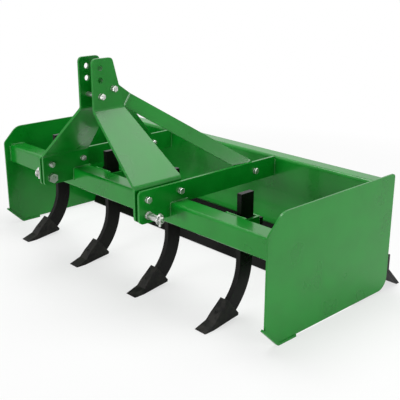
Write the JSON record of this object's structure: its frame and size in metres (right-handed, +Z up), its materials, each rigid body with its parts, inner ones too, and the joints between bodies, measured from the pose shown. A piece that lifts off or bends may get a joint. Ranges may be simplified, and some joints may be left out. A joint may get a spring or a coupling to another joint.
{
  "type": "tractor box blade",
  "caption": "Box blade for a tractor's three-point hitch: A-frame mast, square toolbar, height-adjustable ripper shanks, and a box of end plates and moldboard with cutting edges.",
  "frame": {"origin": "on the ground, midway between the end plates and midway between the hitch's front edge and the rear cutting edge's tip", "axes": "+X across the implement, to the right as seen from the tractor looking back, +Y to the rear, away from the tractor, +Z up"},
  "size_m": [1.5296, 0.841, 0.818],
  "materials": {
    "green_paint": "gloss enamel",
    "black_steel": "satin black",
    "zinc_hardware": "zinc plated"
  },
  "bodies": {
    "frame": {"back_sheet": "green_paint", "brace_bolt": "zinc_hardware", "brace_sleeve": "green_paint", "brace_strap_left": "green_paint", "brace_strap_right": "green_paint", "end_plate_left": "green_paint", "end_plate_right": "green_paint", "front_cutting_edge": "black_steel", "hitch_pin_left": "zinc_hardware", "hitch_pin_right": "zinc_hardware", "hitch_plate_left": "green_paint", "hitch_plate_right": "green_paint", "leg_spacer_front_left": "green_paint", "leg_spacer_front_right": "green_paint", "leg_spacer_rear_left": "green_paint", "leg_spacer_rear_right": "green_paint", "lynch_pin_left": "zinc_hardware", "lynch_pin_right": "zinc_hardware", "mast_foot_left": "green_paint", "mast_foot_right": "green_paint", "mast_leg_left": "green_paint", "mast_leg_right": "green_paint", "mast_pin": "zinc_hardware", "moldboard": "green_paint", "rear_cutting_edge": "black_steel", "rib_left": "green_paint", "rib_right": "green_paint", "shank_socket_1": "green_paint", "shank_socket_2": "green_paint", "shank_socket_3": "green_paint", "shank_socket_4": "green_paint", "skid_bar_left": "green_paint", "skid_bar_right": "green_paint", "socket_bolt_1": "zinc_hardware", "socket_bolt_2": "zinc_hardware", "socket_bolt_3": "zinc_hardware", "socket_bolt_4": "zinc_hardware", "toolbar": "green_paint"},
    "shank_1_body": {"shank_1": "black_steel", "shank_point_1": "black_steel"},
    "shank_2_body": {"shank_2": "black_steel", "shank_point_2": "black_steel"},
    "shank_3_body": {"shank_3": "black_steel", "shank_point_3": "black_steel"},
    "shank_4_body": {"shank_4": "black_steel", "shank_point_4": "black_steel"}
  },
  "joints": [
    {"name": "shank_1_height", "type": "slide", "parent": "frame", "child": "shank_1_body", "axis": [0, 0, 1], "range_m": [-0.05, 0.09]},
    {"name": "shank_2_height", "type": "slide", "parent": "frame", "child": "shank_2_body", "axis": [0, 0, 1], "range_m": [-0.05, 0.09]},
    {"name": "shank_3_height", "type": "slide", "parent": "frame", "child": "shank_3_body", "axis": [0, 0, 1], "range_m": [-0.05, 0.09]},
    {"name": "shank_4_height", "type": "slide", "parent": "frame", "child": "shank_4_body", "axis": [0, 0, 1], "range_m": [-0.05, 0.09]}
  ]
}
